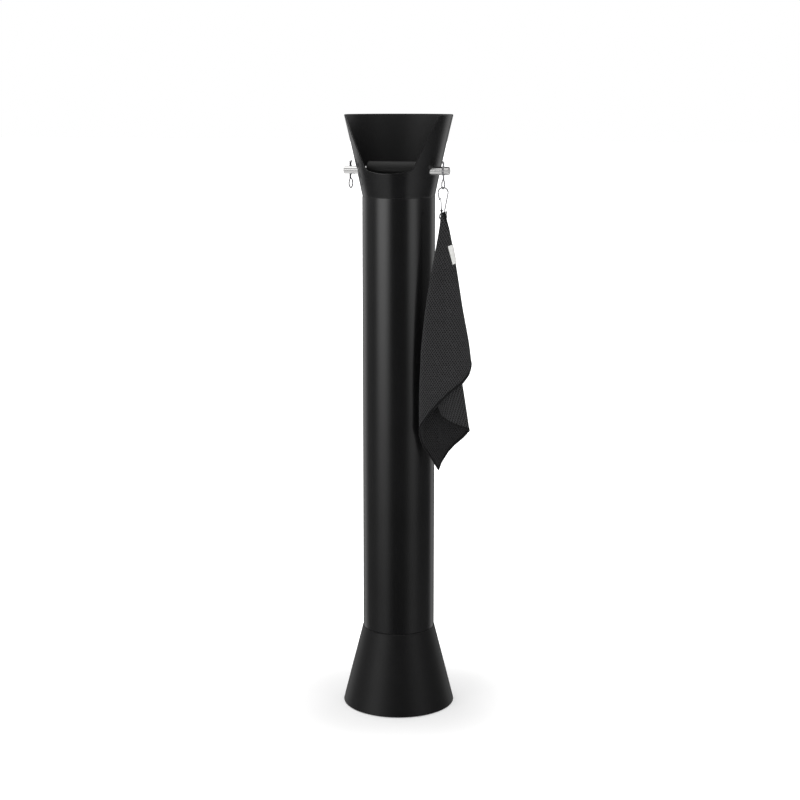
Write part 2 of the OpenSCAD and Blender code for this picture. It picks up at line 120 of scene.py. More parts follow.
# %% A node tree, for a material or the world
class Tree:
    """A node tree with one way to make every kind of node."""

    def __init__(self, tree):
        self.tree = tree

    def node(self, kind, settings=None, inputs=None, output=0):
        """Any node: its type, its settings, then values or links for its sockets."""
        made = self.tree.nodes.new(kind)
        for key, value in (settings or {}).items():
            if key == "stops":
                ramp = made.color_ramp
                while len(ramp.elements) < len(value):
                    ramp.elements.new(1.0)
                for element, (place, shade) in zip(ramp.elements, value):
                    element.position = place
                    element.color = (*shade, 1.0)
            else:
                setattr(made, key, value)
        for key, value in (inputs or {}).items():
            if isinstance(value, Flow):
                self.tree.links.new(value.socket, made.inputs[key])
            else:
                made.inputs[key].default_value = value
        return None if output is None else Flow(self, made.outputs[output])

    def split(self, vector):
        """The three parts of a vector."""
        parts = self.node("ShaderNodeSeparateXYZ", inputs={"Vector": vector})
        return [Flow(self, out) for out in parts.socket.node.outputs]

    def stretch(self, vector, scale):
        """The vector with each part multiplied by its own number."""
        return self.node(
            "ShaderNodeVectorMath", {"operation": "MULTIPLY"}, {0: vector, 1: scale}
        )

    def noise(self, vector, scale, detail=3.0, rough=0.55):
        """Soft blotches from 0 to 1: scale is how many there are in a metre, roughly."""
        return self.node(
            "ShaderNodeTexNoise",
            inputs={"Vector": vector, "Scale": scale, "Detail": detail, "Roughness": rough},
        )

    def shades(self, flow, dark, light):
        """A colour between dark and light, as flow goes from 0 to 1."""
        return self.node("ShaderNodeValToRGB", {"stops": [(0.0, dark), (1.0, light)]}, {"Fac": flow})

    def bump(self, height, depth, normal=None):
        """A Bump node: depth is in metres for a height that goes from 0 to 1."""
        inputs = {"Height": height, "Distance": depth}
        if normal is not None:
            inputs["Normal"] = normal
        return self.node("ShaderNodeBump", inputs=inputs)


# %% A finish is a material with a Principled shader
class Finish(Tree):
    """A material. Settings that are the same all over go straight onto the shader's sockets."""

    def __init__(self, name, settings):
        self.material = bpy.data.materials.new(name)
        self.material.use_nodes = True
        super().__init__(self.material.node_tree)
        self.shader = self.tree.nodes["Principled BSDF"]
        for socket, value in settings.items():
            self.shader.inputs[socket].default_value = value

    def feed(self, socket, flow):
        """Links what changes over the surface to one of the shader's sockets."""
        self.tree.links.new(flow.socket, self.shader.inputs[socket])

    def place(self):
        """Object coordinates, in metres, because every piece sits at the origin."""
        return self.node("ShaderNodeTexCoord", output="Object")

    def rounded_edges(self, radius):
        """A normal that runs smoothly round sharp edges, as if each had that radius."""
        return self.node("ShaderNodeBevel", {"samples": 6}, {"Radius": radius})


def dress(finish, *names):
    """Puts a finish on CAD nodes, in their material slots and nowhere else."""
    for name in names:
        for slot in nodes[name].material_slots:
            slot.material = finish.material
    print(finish.material.name, "->", ", ".join(names))


# %% [markdown]
# ## Satin black moulding
# The base shell and the funnel are moulded in black plastic with a satin surface. Real satin
# is never even: the mould leaves a very fine grain, the gloss drifts over a hand's breadth and
# hands polish the edges. The colour hardly changes, so the roughness and a Bump tell the story.

# %% The moulded finish
PLASTIC_IOR = 1.48
SOFT_EDGE = 0.002
WORN_ROUGHER = 0.3


def moulded_black(name, gloss, grain, shine, worn=None):
    """Satin moulding: mean roughness, depth of the mould's texture, specular level and worn part."""
    finish = Finish(name, {"Specular IOR Level": shine, "IOR": PLASTIC_IOR})
    place = finish.place()
    drift = finish.noise(place, 9.0, 2.0)
    cloud = finish.noise(place, 46.0, 4.0, 0.6)
    fine = finish.noise(place, 2600.0, 2.0, 0.5)
    peel = finish.noise(place, 420.0, 2.0, 0.5)
    finish.feed("Base Color", finish.shades(cloud, (0.0036, 0.0036, 0.0038), (0.0066, 0.0066, 0.0069)))
    roughness = gloss + drift * 0.07 + cloud * 0.05 - 0.06
    if worn is not None:
        roughness = roughness + worn(finish) * WORN_ROUGHER
    finish.feed("Roughness", roughness)
    skin = finish.bump(fine, grain, finish.rounded_edges(SOFT_EDGE))
    finish.feed("Normal", finish.bump(peel, grain * 2.2, skin))
    return finish


WALL_FROM, WALL_TO = 0.0014, 0.0022


def inside_funnel(finish):
    """1 on the funnel's inner wall, which falls short of a straight cone through seat and lip."""
    seat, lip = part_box("tube")[1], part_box("funnel")[1]
    x, y, z = finish.split(finish.place())
    radius = (x * x + y * y) ** 0.5
    cone = seat[0] + (z - seat[2]) * ((lip[0] - seat[0]) / (lip[2] - seat[2]))
    return (cone - radius).rise(WALL_FROM, WALL_TO)


dress(moulded_black("satin_black_funnel", 0.24, 0.000012, 0.42, inside_funnel), "funnel")
dress(moulded_black("satin_black_base", 0.45, 0.00003, 0.2), "base_shell")

# %% [markdown]
# ## The tube's finish
# The tube is extruded, so what marks it has runs along its length: faint draw lines, and a
# gloss that changes slowly round it. Stretching the coordinates before the noise does that:
# multiplying Z by a small number makes every blotch a long streak.

# %% The drawn tube
STREAK = (1.0, 1.0, 0.02)


def drawn_black():
    """Satin black with streaks along Z: noise is read with Z squeezed to a fiftieth."""
    finish = Finish("satin_black_tube", {"Specular IOR Level": 0.42, "IOR": PLASTIC_IOR})
    place = finish.place()
    along = finish.stretch(place, STREAK)
    streak = finish.noise(along, 700.0, 3.0, 0.6)
    broad = finish.noise(along, 60.0, 2.0)
    cloud = finish.noise(place, 14.0, 3.0)
    fine = finish.noise(place, 2200.0, 2.0, 0.5)
    finish.feed("Base Color", finish.shades(cloud, (0.0034, 0.0034, 0.0036), (0.0058, 0.0058, 0.0061)))
    finish.feed("Roughness", 0.2 + broad * 0.05 + cloud * 0.05)
    skin = finish.bump(fine, 0.000016)
    finish.feed("Normal", finish.bump(streak, 0.000012, skin))
    return finish


dress(drawn_black(), "tube")

# %% [markdown]
# ## Rubber, for the sleeve, the seals and the foot
# Moulded rubber is darker and duller than plastic. Its surface takes up dust, so its grain is
# coarser and its roughness higher. The sleeve is knocked on all day, and it gets small dents.

# %% Three rubbers
def rubber(name, roughness, dents):
    """Dull black. dents is the depth of the shallow hollows of wear."""
    finish = Finish(name, {"Specular IOR Level": 0.16, "IOR": 1.5})
    place = finish.place()
    dust = finish.noise(place, 900.0, 4.0, 0.65)
    hollow = finish.noise(place, 150.0, 2.0, 0.5).rise(0.42, 0.62)
    finish.feed("Base Color", finish.shades(dust, (0.006, 0.006, 0.0061), (0.018, 0.0178, 0.0175)))
    finish.feed("Roughness", roughness + dust * 0.12)
    grain = finish.bump(dust, 0.00003)
    finish.feed("Normal", finish.bump(hollow, dents, grain))
    return finish


dress(rubber("sleeve_rubber", 0.42, 0.00006), "bar_sleeve")
dress(rubber("seal_rubber", 0.45, 0.00001), "base_seal", "funnel_seal")
dress(rubber("foot_rubber", 0.6, 0.00008), "rubber_foot")

# %% [markdown]
# ## Bare steel
# The knock bar is a stainless rod polished in a lathe, so its scratches run round it. The wire
# parts are drawn and bright. Metals need no colour pattern: their roughness is their texture.

# %% Turned bar, bright wire and plated fasteners
def metal(name, colour, roughness, stretch, scale, depth):
    """A metal whose scratches are noise with its coordinates stretched by those three numbers."""
    finish = Finish(name, {"Metallic": 1.0, "Base Color": (*colour, 1.0)})
    place = finish.place()
    scratch = finish.noise(finish.stretch(place, stretch), scale, 4.0, 0.65)
    smudge = finish.noise(place, 120.0, 3.0)
    finish.feed("Roughness", roughness + scratch * 0.1 + smudge * 0.08 - 0.05)
    finish.feed("Normal", finish.bump(scratch, depth))
    return finish


dress(metal("stainless_bar", (0.56, 0.555, 0.55), 0.13, (1.0, 0.03, 0.03), 5200.0, 0.000012), "knock_bar")
dress(
    metal("bright_wire", (0.36, 0.36, 0.37), 0.2, (1.0, 1.0, 0.3), 2400.0, 0.000006),
    "left_hitch_pin", "right_hitch_pin", "snap_hook", "hook_gate", "gate_rivet",
)
dress(
    metal("zinc_steel", (0.56, 0.57, 0.6), 0.34, (1.0, 1.0, 1.0), 1500.0, 0.00001),
    "plate_screws", "weight_bolt",
)

# %% [markdown]
# ## The hidden weight and the plate under the base
# They show only when the box is lifted or taken apart, but they are real parts with real
# finishes: a sand-cast lump with a rough skin, and a sheet with a pebbled powder coat.

# %% Sand casting and powder coat
def rough_coat(name, dark, light, roughness, scale, depth, metallic=0.0):
    """A grainy skin: one noise gives its colour, its roughness and its height."""
    finish = Finish(name, {"Metallic": metallic})
    place = finish.place()
    grain = finish.noise(place, scale, 5.0, 0.6)
    finish.feed("Base Color", finish.shades(grain, dark, light))
    finish.feed("Roughness", roughness + grain * 0.15)
    finish.feed("Normal", finish.bump(grain, depth))
    return finish


dress(
    rough_coat("cast_iron", (0.05, 0.048, 0.047), (0.12, 0.115, 0.11), 0.55, 420.0, 0.0005, 0.6),
    "cast_weight",
)
dress(
    rough_coat("black_steel", (0.008, 0.008, 0.009), (0.02, 0.02, 0.022), 0.38, 700.0, 0.00012),
    "bottom_plate",
)

# %% [markdown]
# ## The towel's shape
# A barista towel is a square of waffle cloth. Hung by a corner it wraps on itself in long folds
# that run down from that corner, and its hem shows as a zigzag. A flat plate or random wrinkles
# would not do: which layer lies in front is what the eye reads. So the cloth is a surface of
# two parameters. One goes down from the corner to the hem. The other goes across the cloth
# through its layers: the front, round the left fold to the back, round the right fold to the
# middle, and on to a last layer inside.

# %% The towel's own frame
ring_centre = np.array(joints["towel_swing"]["pos_m"])
RING_RADIUS = 0.0051
TURN = math.radians(22.5)
hang_point = ring_centre - [0, 0, RING_RADIUS]
rightwards = np.array([math.cos(TURN), math.sin(TURN), 0.0])
outwards = np.array([math.sin(TURN), -math.cos(TURN), 0.0])
upwards = np.array([0.0, 0.0, 1.0])


def to_frame(width, height, depth):
    """Points from millimetres in the towel's frame: along its face, up, and out from the tube."""
    local = np.stack([width, height, depth], axis=-1) / 1000
    return hang_point + local @ np.stack([rightwards, upwards, outwards])


print("towel hangs at", hang_point.round(4))

# %% Edges of the hanging cloth
# Each edge is a width in mm at each height, smoothed by a curve through a few points.
LEFT = [(20, -2), (4, -4.5), (-22, -7.1), (-40, -11.2), (-101, -23.3), (-145, -29), (-190, -33.3),
        (-250, -35.4), (-303, -35.1), (-345, -34)]
RIGHT = [(20, 0), (4, 3.9), (-22, 9.6), (-66, 18.3), (-92, 22.3), (-127, 27.7), (-163, 34.8), (-181, 38.1),
         (-208, 41.3), (-240, 42.5), (-345, 43)]
INNER_RIGHT = [(20, 0), (4, 2.5), (-40, 9), (-100, 15.5), (-180, 23), (-234, 28), (-262, 32.6), (-298, 38.4),
               (-313, 40.5), (-345, 43)]


def smooth_edge(points, height):
    """Width at each height: straight lines between the points, averaged over 16 mm of height."""
    heights, widths = np.array(sorted(points)).T
    steps = np.linspace(-8, 8, 9)
    return np.mean([np.interp(height + step, heights, widths) for step in steps], axis=0)


# %% [markdown]
# The hem is one line that turns with the folds. At each place across the cloth, a table gives
# how far across the width it lies (0 at the left, 1 at the right), its depth out from the tube
# and how low the hem hangs there. Numpy reads the table for the whole grid at once.

# %% The path across the layers
# place across, share of the width, depth mm, height of the hem mm, which right edge (0 outer, 1 inner)
LAYERS = np.array([
    (0.00, 0.62, 9.8, -176.0, 0),
    (0.15, 0.80, 9.6, -186.0, 0),
    (0.28, 0.95, 10.2, -199.0, 0),
    (0.33, 1.00, 11.8, -207.0, 0),
    (0.38, 0.985, 13.6, -216.0, 0),
    (0.43, 0.943, 14.6, -225.5, 0),
    (0.53, 0.82, 16.0, -237.3, 0),
    (0.75, 0.535, 17.2, -254.7, 0),
    (0.87, 0.38, 17.0, -266.5, 0),
    (1.00, 0.224, 16.2, -279.7, 0),
    (1.14, 0.07, 14.4, -296.0, 0),
    (1.20, 0.01, 12.2, -303.3, 0),
    (1.25, 0.00, 9.2, -311.0, 0),
    (1.31, 0.01, 6.2, -320.0, 1),
    (1.39, 0.08, 4.6, -336.0, 1),
    (1.52, 0.21, 4.2, -350.4, 1),
    (1.68, 0.365, 4.6, -371.0, 1),
    (1.74, 0.43, 4.8, -357.5, 1),
    (1.86, 0.56, 5.0, -342.0, 1),
    (1.98, 0.69, 4.8, -332.0, 1),
    (2.12, 0.86, 4.8, -322.0, 1),
    (2.22, 0.97, 5.6, -314.0, 1),
    (2.26, 1.00, 7.2, -311.5, 1),
    (2.30, 0.98, 9.0, -310.5, 1),
    (2.42, 0.83, 10.6, -306.8, 1),
    (2.60, 0.63, 11.4, -300.4, 1),
    (2.76, 0.45, 11.6, -291.0, 1),
    (2.86, 0.36, 11.2, -272.0, 1),
    (3.02, 0.20, 10.0, -252.0, 1),
    (3.12, 0.13, 8.6, -243.0, 1),
    (3.22, 0.20, 7.4, -234.0, 1),
    (3.50, 0.55, 7.2, -206.0, 1),
    (3.74, 0.86, 7.6, -184.0, 1),
    (3.80, 0.90, 8.4, -178.0, 1),
    (3.86, 0.86, 9.2, -176.0, 1),
    (4.06, 0.62, 9.4, -172.0, 1),
])
LEFT_FOLD = 1.25
APEX = 13.0
ACROSS, DOWN = 190, 84

# %% The numbers of its folds
# The inner layers' left edge stands in by 2.5 mm, less below 130 mm down and not at all at 330.
STAND_IN, STAND_LOW, STAND_RUN = 2.5, 330, 200
# The first layer lies behind the front. It keeps to the right edge near the corner, and takes
# its own place between 60 and 170 mm down.
BEHIND_ENDS, TURN_TOP, TURN_RUN = 0.33, -60, 110
# The layers' depths open out over 95 mm from the corner, from 0.12 of their spread to all of it.
GATHER_ABOVE, GATHER_RUN, GATHER_LEAST = 4, 95, 0.12
# Depths in mm: of the cloth at the corner, of the table's nearest layer, and the least allowed.
CORNER_DEPTH, TABLE_DEPTH, LEAST_DEPTH = 4.4, 4.0, 3.9
# Each ripple's length, lean across the width, start and size. They grow over the first 220 mm.
RIPPLES = [(34, 2.6, 0, 0.7), (19, -4.1, 1.3, 0.35)]
RIPPLE_RUN = 220


def rounded(place, column):
    """A column of the table, read with a smooth curve: linear steps averaged over a short run."""
    steps = np.linspace(-0.03, 0.03, 7)
    return np.mean([np.interp(place + step, LAYERS[:, 0], LAYERS[:, column]) for step in steps], axis=0)


def towel_surface(place, share_down):
    """The cloth: height runs from the apex to the hem, width between the edges at that height,
    and depth from the table, drawn together towards the apex and rippled a little."""
    hem = np.interp(place, LAYERS[:, 0], LAYERS[:, 3])
    height = APEX + share_down * (hem - APEX)
    inner = rounded(place, 4)
    left = smooth_edge(LEFT, height) + STAND_IN * inner * np.clip((height + STAND_LOW) / STAND_RUN, 0, 1)
    right = smooth_edge(RIGHT, height) * (1 - inner) + smooth_edge(INNER_RIGHT, height) * inner
    turned = np.clip((TURN_TOP - height) / TURN_RUN, 0, 1)
    share = rounded(place, 1)
    share = np.where(place < BEHIND_ENDS, 1 - (1 - share) * turned, share)
    width = left + share * (right - left)
    gather = np.clip((APEX + GATHER_ABOVE - height) / GATHER_RUN, GATHER_LEAST, 1.0)
    depth = CORNER_DEPTH + (rounded(place, 2) - TABLE_DEPTH) * gather
    ripple = sum(
        np.sin(height / length + share * lean + begin) * size for length, lean, begin, size in RIPPLES
    )
    low = np.clip((-height) / RIPPLE_RUN, 0, 1)
    depth = np.maximum(depth + ripple * low, LEAST_DEPTH)
    return width, height, depth


# %% The grid of the cloth
# The columns lie partly even and partly crowded, as the table's rows are, where the cloth turns.
EVEN_SHARE, CROWDED_SHARE = 0.45, 0.55
FIRST_ROW = 0.004
crowded = np.interp(
    np.linspace(0, 1, ACROSS + 1), np.linspace(0, 1, len(LAYERS)), LAYERS[:, 0]
)
even = np.linspace(LAYERS[0, 0], LAYERS[-1, 0], ACROSS + 1)
place_across = even * EVEN_SHARE + crowded * CROWDED_SHARE
share_down = np.linspace(FIRST_ROW, 1.0, DOWN + 1)
grid_place, grid_down = np.meshgrid(place_across, share_down)
towel_points = to_frame(*towel_surface(grid_place, grid_down))
print("towel grid", towel_points.shape)

# %% [markdown]
# ## From a grid to a mesh
# A grid of points becomes faces with index arithmetic: each cell joins a point to its right
# and lower neighbours. The same arrays give two UV maps. One is the cloth laid flat, in metres,
# for the weave; the other is the distance from the nearest edge, in metres, for the hem.

# %% Grid helpers
def grid_faces(rows, columns, closed=False):
    """Four corner numbers of each cell of a grid, whose last column can join its first."""
    number = np.arange(rows * columns).reshape(rows, columns)
    after = np.roll(number, -1, axis=1)
    keep = slice(None) if closed else slice(0, columns - 1)
    corners = [number[:-1, keep], after[:-1, keep], after[1:, keep], number[1:, keep]]
    return np.stack([c.ravel() for c in corners], axis=1)


def make_piece(name, points, faces, smooth=True):
    """A mesh object at the origin, with its place in its points."""
    mesh = bpy.data.meshes.new(name)
    mesh.from_pydata(points.reshape(-1, 3).tolist(), [], faces.tolist())
    mesh.polygons.foreach_set("use_smooth", np.full(len(mesh.polygons), smooth))
    mesh.update()
    piece = bpy.data.objects.new(name, mesh)
    bpy.context.scene.collection.objects.link(piece)
    return piece


def add_uv(piece, name, uv):
    """A UV map with one pair of numbers for each vertex."""
    mesh = piece.data
    corner_vertex = np.empty(len(mesh.loops), dtype=np.int32)
    mesh.loops.foreach_get("vertex_index", corner_vertex)
    layer = mesh.uv_layers.new(name=name)
    layer.data.foreach_set("uv", uv.reshape(-1, 2)[corner_vertex].ravel())


def bake_modifiers(piece):
    """Applies a piece's modifiers, so that its mesh is what shows."""
    depsgraph = bpy.context.evaluated_depsgraph_get()
    done = bpy.data.meshes.new_from_object(piece.evaluated_get(depsgraph))
    piece.modifiers.clear()
    piece.data = done


# %% The cloth laid flat
steps_across = np.linalg.norm(np.diff(towel_points, axis=1), axis=2)
flat_across = np.concatenate([np.zeros((DOWN + 1, 1)), np.cumsum(steps_across, axis=1)], axis=1)
steps_down = np.linalg.norm(np.diff(towel_points, axis=0), axis=2)
below = np.cumsum(steps_down[::-1], axis=0)[::-1]
from_hem = np.concatenate([below, np.zeros((1, ACROSS + 1))], axis=0)
from_sides = np.minimum(flat_across, flat_across[:, -1:] - flat_across)
fold_column = int(np.argmin(np.abs(place_across - LEFT_FOLD)))
laid = flat_across - flat_across[:, fold_column:fold_column + 1]
drop = towel_points[..., 2] - hang_point[2]
diagonal = math.sqrt(0.5)
weave_uv = np.stack([(laid + drop) * diagonal, (laid - drop) * diagonal], axis=-1)
edge_uv = np.stack([np.minimum(from_hem, from_sides), from_hem], axis=-1)
cell_area = steps_across[:-1] * steps_down[:, :-1]
print("cloth area if its cells were rectangles, m2:", round(float(cell_area.sum()), 4))

# %% [markdown]
# ## Letting the cloth hang
# The surface above is too regular. Blender's cloth lets it find its own small sags: the top
# corner is pinned and every other point is held to its place by a weak spring, so gravity moves
# it a millimetre or two without undoing the folds. A cap on the movement keeps the layers apart.

# %% Hang the towel
SETTLE_FRAMES = 22
MOST_MOVE = 0.006
HELD_ROWS, FIRM_GRIP, LIGHT_GRIP = 6, 1.0, 0.3
CLOTH_SETTINGS = {
    "quality": 6,
    "mass": 0.3,
    "tension_stiffness": 20,
    "compression_stiffness": 4,
    "shear_stiffness": 4,
    "bending_stiffness": 0.3,
    "vertex_group_mass": "hold",
    "pin_stiffness": 0.4,
}
towel = make_piece("towel_cloth", towel_points, grid_faces(DOWN + 1, ACROSS + 1))
hold = towel.vertex_groups.new(name="hold")
for row in range(DOWN + 1):
    grip = FIRM_GRIP if row < HELD_ROWS else LIGHT_GRIP
    hold.add(range(row * (ACROSS + 1), (row + 1) * (ACROSS + 1)), grip, "REPLACE")
cloth = towel.modifiers.new("hang", "CLOTH")
for setting, value in CLOTH_SETTINGS.items():
    setattr(cloth.settings, setting, value)
cloth.collision_settings.use_collision = False
cloth.collision_settings.use_self_collision = False
for number in range(1, SETTLE_FRAMES + 1):
    bpy.context.scene.frame_set(number)
hung = towel.evaluated_get(bpy.context.evaluated_depsgraph_get()).data
moved = np.empty(len(hung.vertices) * 3)
hung.vertices.foreach_get("co", moved)
towel.modifiers.clear()
bpy.context.scene.frame_set(1)
start = towel_points.reshape(-1, 3)
move = moved.reshape(-1, 3) - start
length = np.linalg.norm(move, axis=1, keepdims=True)
move *= np.minimum(1, MOST_MOVE / np.maximum(length, 1e-9))
towel.data.vertices.foreach_set("co", (start + move).ravel())
towel.data.update()
print("cloth moved up to, mm:", round(float(length.max()) * 1000, 2))

# %% [markdown]
# ## Thickness and hem
# The hem is the cloth folded over twice, so it is thicker than the rest. Solidify reads a
# vertex group as its thickness: the group is 1 in the hem, 0.6 elsewhere and less at the corner
# that hangs. Solidify adds the second side's points after the first side's, so a point's number
# says which side it is on. A third UV map keeps that, because the cloth's reverse is painted
# darker: painted shade on the panel under the front fold, where the reverse shows.

# %% Thicken the towel
CLOTH_THICK = 0.0028
PLAIN_SHARE = 0.6
HEM_ENDS = 5.8
CORNER_FROM, CORNER_RUN, CORNER_SHARE = 0.02, 0.1, 0.3
near_edge = edge_uv[..., 0].ravel() * 1000
thick_share = PLAIN_SHARE + (1 - PLAIN_SHARE) * np.clip(HEM_ENDS - near_edge, 0, 1)
top_rows = np.clip((grid_down.ravel() - CORNER_FROM) / CORNER_RUN, CORNER_SHARE, 1.0)
thick_share = thick_share * top_rows
body = towel.vertex_groups.new(name="thickness")
for level in np.unique(thick_share.round(2)):
    members = np.nonzero(thick_share.round(2) == level)[0].tolist()
    body.add(members, float(level), "REPLACE")
add_uv(towel, "weave", weave_uv)
add_uv(towel, "edge", edge_uv)
solid = towel.modifiers.new("thickness", "SOLIDIFY")
solid.thickness = CLOTH_THICK
solid.offset = 0.0
solid.vertex_group = "thickness"
bake_modifiers(towel)
towel.vertex_groups.clear()
reverse_side = (np.arange(len(towel.data.vertices)) >= towel_points[..., 0].size).astype(float)
add_uv(towel, "side", np.stack([reverse_side, reverse_side], axis=1))
print("share of vertices on the cloth's reverse:", reverse_side.mean())
print("towel triangles:", sum(len(p.vertices) - 2 for p in towel.data.polygons))

# %% [markdown]
# ## Waffle weave
# Waffle cloth is a grid of small square hollows between raised floats of yarn. In the cloth's
# own UV map, a cosine along each thread direction peaks at a cell's edge. The larger of the two
# makes the ridges. A finer wave adds the yarns, and the hem has plain weave and a stitch line.
# The hollows are painted darker than the ridges, as painted shade in the weave's recesses.

# %% The waffle finish
CELL = 0.0038
YARN = 0.00063
WEAVE_DEPTH = 0.0016
HEM_LINE = (0.0046, 0.0056)
# How much darker the cloth's reverse side is painted, as painted shade under the front fold.
REVERSE_PAINTED_SHADE = 0.6


def waffle():
    """Height is the larger of two cosines of the cell's size, plus yarns and lint."""
    finish = Finish("black_waffle_cloth", {
        "Sheen Weight": 0.12, "Sheen Roughness": 0.4, "Sheen Tint": (0.6, 0.6, 0.62, 1.0),
        "Specular IOR Level": 0.15,
    })
    weave = finish.node("ShaderNodeUVMap", {"uv_map": "weave"})
    edge = finish.node("ShaderNodeUVMap", {"uv_map": "edge"})
    wobble = finish.noise(weave, 260.0, 2.0) * 0.0005
    along, across, _ = finish.split(weave)
    along, across = along + wobble, across + wobble
    warp, weft = along.wave(CELL), across.wave(CELL)
    ridge = warp.most(weft)
    yarns = along.wave(YARN) * weft + across.wave(YARN) * warp
    border = finish.split(edge)[0]
    inside = border.rise(*HEM_LINE)
    lint = finish.noise(weave, 1500.0, 4.0, 0.7)
    waves = ridge * 0.75 + yarns * 0.16
    height = waves * inside + (1 - inside) * (yarns * 0.12 + 0.6) + lint * 0.14
    reverse = finish.split(finish.node("ShaderNodeUVMap", {"uv_map": "side"}))[0]
    # Painted shade: the hollows between the ridges are painted far darker than the raised floats. The hem
    # band is darker, and lint varies the tone at random.
    tone = (0.06 + (ridge ** 2.6) * 0.94) * (0.14 + inside * 0.86) * (0.5 + lint)
    # Painted shade: the reverse side, which shows on the panel under the front fold, is painted darker in
    # place of the shade there.
    tone = tone * (1 - reverse * REVERSE_PAINTED_SHADE)
    finish.feed("Base Color", finish.shades(tone, (0.0016, 0.0016, 0.0017), (0.05, 0.05, 0.0515)))
    finish.feed("Roughness", 0.95 - ridge * 0.1)
    finish.feed("Normal", finish.bump(height, WEAVE_DEPTH))
    return finish


towel.data.materials.append(waffle().material)
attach(towel, "hung_towel")
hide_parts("towel")

# %% [markdown]
# ## A tube along a path
# The towel hangs by a short loop of cord. A cord is a circle carried along a path: at each
# point the path's direction and a fixed side direction give the two axes of the circle.

# %% Sweep a circle
def smooth_path(points, count):
    """A curve through the points: each span is a Catmull-Rom cubic, sampled evenly."""
    points = np.asarray(points, dtype=float)
    padded = np.concatenate([2 * points[:1] - points[1:2], points, 2 * points[-1:] - points[-2:-1]])
    at = np.linspace(0, len(points) - 1 - 1e-9, count)
    span = at.astype(int)
    t = (at - span)[:, None]
    p0, p1, p2, p3 = (padded[span + k] for k in range(4))
    square = (2 * p0 - 5 * p1 + 4 * p2 - p3) * t**2
    cube = (3 * p1 - p0 - 3 * p2 + p3) * t**3
    return 0.5 * (2 * p1 + (p2 - p0) * t + square + cube)


def swept_tube(name, path, radius, sides, side):
    """Rings of points round the path, at right angles to it, closed by a fan at each end."""
    way = np.gradient(path, axis=0)
    way /= np.linalg.norm(way, axis=1, keepdims=True)
    first = np.cross(way, side)
    first /= np.linalg.norm(first, axis=1, keepdims=True)
    second = np.cross(way, first)
    angle = np.linspace(0, 2 * math.pi, sides, endpoint=False)[:, None, None]
    ring = path + radius * (np.cos(angle) * first + np.sin(angle) * second)
    ring = ring.transpose(1, 0, 2)
    points = np.concatenate([ring.reshape(-1, 3), path[:1], path[-1:]])
    last = len(path) * sides
    around = np.arange(sides)
    after = np.roll(around, -1)
    piece = make_piece(name, points, grid_faces(len(path), sides, closed=True))
    caps = [(a, b, last) for a, b in zip(after, around)]
    end = last - sides
    caps += [(end + a, end + b, last + 1) for a, b in zip(around, after)]
    mesh = piece.data
    faces = [tuple(p.vertices) for p in mesh.polygons] + [tuple(map(int, c)) for c in caps]
    mesh.clear_geometry()
    mesh.from_pydata(points.tolist(), [], faces)
    mesh.polygons.foreach_set("use_smooth", np.full(len(mesh.polygons), True))
    mesh.update()
    return piece


# %% The hanging cord
# Points in mm in the towel's frame. Both ends are inside the towel's gathered corner.
CORD_RADIUS = 0.0008
CORD_RINGS, CORD_SIDES = 64, 12
CORD_POINTS = [(-0.6, -6, 4.4), (-0.4, 1, 3.9), (0.2, 5.0, 0.6), (1.6, 8.2, -1.9), (3.8, 11.2, -2.2),
               (5.4, 12.0, 0.2), (4.6, 9.4, 2.6), (2.6, 4.2, 4.2), (1.4, -2, 4.6), (1.2, -7, 4.9)]
cord_path = to_frame(*smooth_path(CORD_POINTS, CORD_RINGS).T)
loop = swept_tube("hanging_cord", cord_path, CORD_RADIUS, CORD_SIDES, rightwards + 0.3 * upwards)


BRAID = 0.0009


def braided():
    """Cord: two cosines on Object coordinates that cross, for the braid, with lint over them."""
    finish = Finish("black_cord", {"Sheen Weight": 0.2, "Specular IOR Level": 0.25})
    place = finish.place()
    x, _, z = finish.split(place)
    braid = (x + z).wave(BRAID).most((z - x).wave(BRAID))
    lint = finish.noise(place, 2600.0, 3.0)
    # Partly painted shade: the grooves between the braid's strands are painted darker. The lint part is
    # random tone.
    tone = braid * 0.6 + lint * 0.4
    finish.feed("Base Color", finish.shades(tone, (0.004, 0.004, 0.004), (0.016, 0.016, 0.016)))
    finish.feed("Roughness", 0.8 + lint * 0.15)
    finish.feed("Normal", finish.bump(braid * 0.7 + lint * 0.3, 0.00025))
    return finish


loop.data.materials.append(braided().material)
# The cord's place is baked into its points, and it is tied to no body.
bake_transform(loop)
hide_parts("towel_loop")
cord_length = np.linalg.norm(np.diff(cord_path, axis=0), axis=1).sum()
print("cord length, mm:", round(float(cord_length) * 1000, 1))

# %% [markdown]
# ## The sewn tag
# A tag is a short piece of white tape folded over the hem and stitched through. It is a strip
# that goes up the front, round the edge and a little way down the back, so it is one surface:
# a profile across the tape's fold, carried along the hem's line.

# %% Fold the tape over the hem
TAG_TOP, TAG_BOTTOM = -34.5, -61.0
TAG_THICK = 0.0006
TAG_ROWS, TAG_COLUMNS = 41, 49
# Round the tape: the front leaf's share, the fold's share, and where the back leaf begins and runs.
FRONT_SHARE, FOLD_SHARE, BACK_FROM, BACK_SHARE = 0.62, 0.18, 0.8, 0.2
# The leaves' widths, the front one's narrowing and lean, and half the depth between them, in mm.
FRONT_LEAF, NARROWING, BACK_LEAF, LEAN, HALF_FOLD = 7.0, 1.6, 4.5, 2.6, 2.5
# The tape stands this far out from the hem's edge, and bulges at the fold, in mm.
OUT_FROM_EDGE, BULGE = 0.5, 0.9
# The front layer near its right edge: place across, depth of its hem and clearance, in mm.
FRONT_PLACE, FRONT_HEM, CLEARANCE = 0.40, 207.0, 0.3
TAPE_ROUND, TAPE_LONG = 0.018, 0.027


